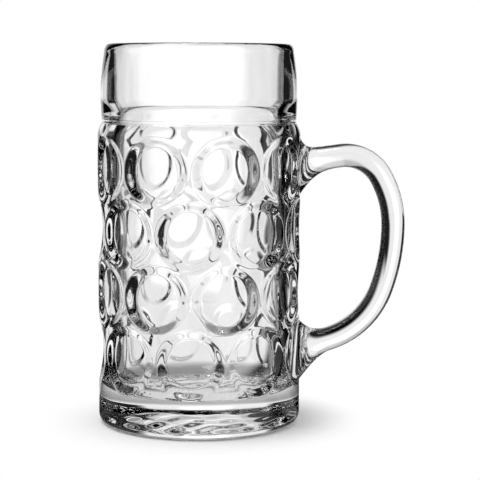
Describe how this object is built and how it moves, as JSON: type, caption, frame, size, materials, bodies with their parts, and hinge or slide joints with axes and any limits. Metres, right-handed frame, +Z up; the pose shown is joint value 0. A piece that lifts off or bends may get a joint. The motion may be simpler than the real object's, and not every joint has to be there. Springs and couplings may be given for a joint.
{
  "type": "dimpled glass beer mug",
  "caption": "Tall clear glass beer mug with a plain rim band, a stepped shoulder, staggered rows of round dimples, a thick base and an ear handle on flared roots.",
  "frame": {"origin": "middle of the standing face, on the axis of the bowl", "axes": "+Z up along the axis of the bowl, +X out through the middle of the handle, +Y to the left of someone who looks along +X"},
  "size_m": [0.1621, 0.107, 0.2],
  "materials": {
    "clear_glass": "fire-polished clear pressed glass"
  },
  "bodies": {
    "root": {"bowl": "clear_glass", "handle": "clear_glass"}
  },
  "joints": []
}
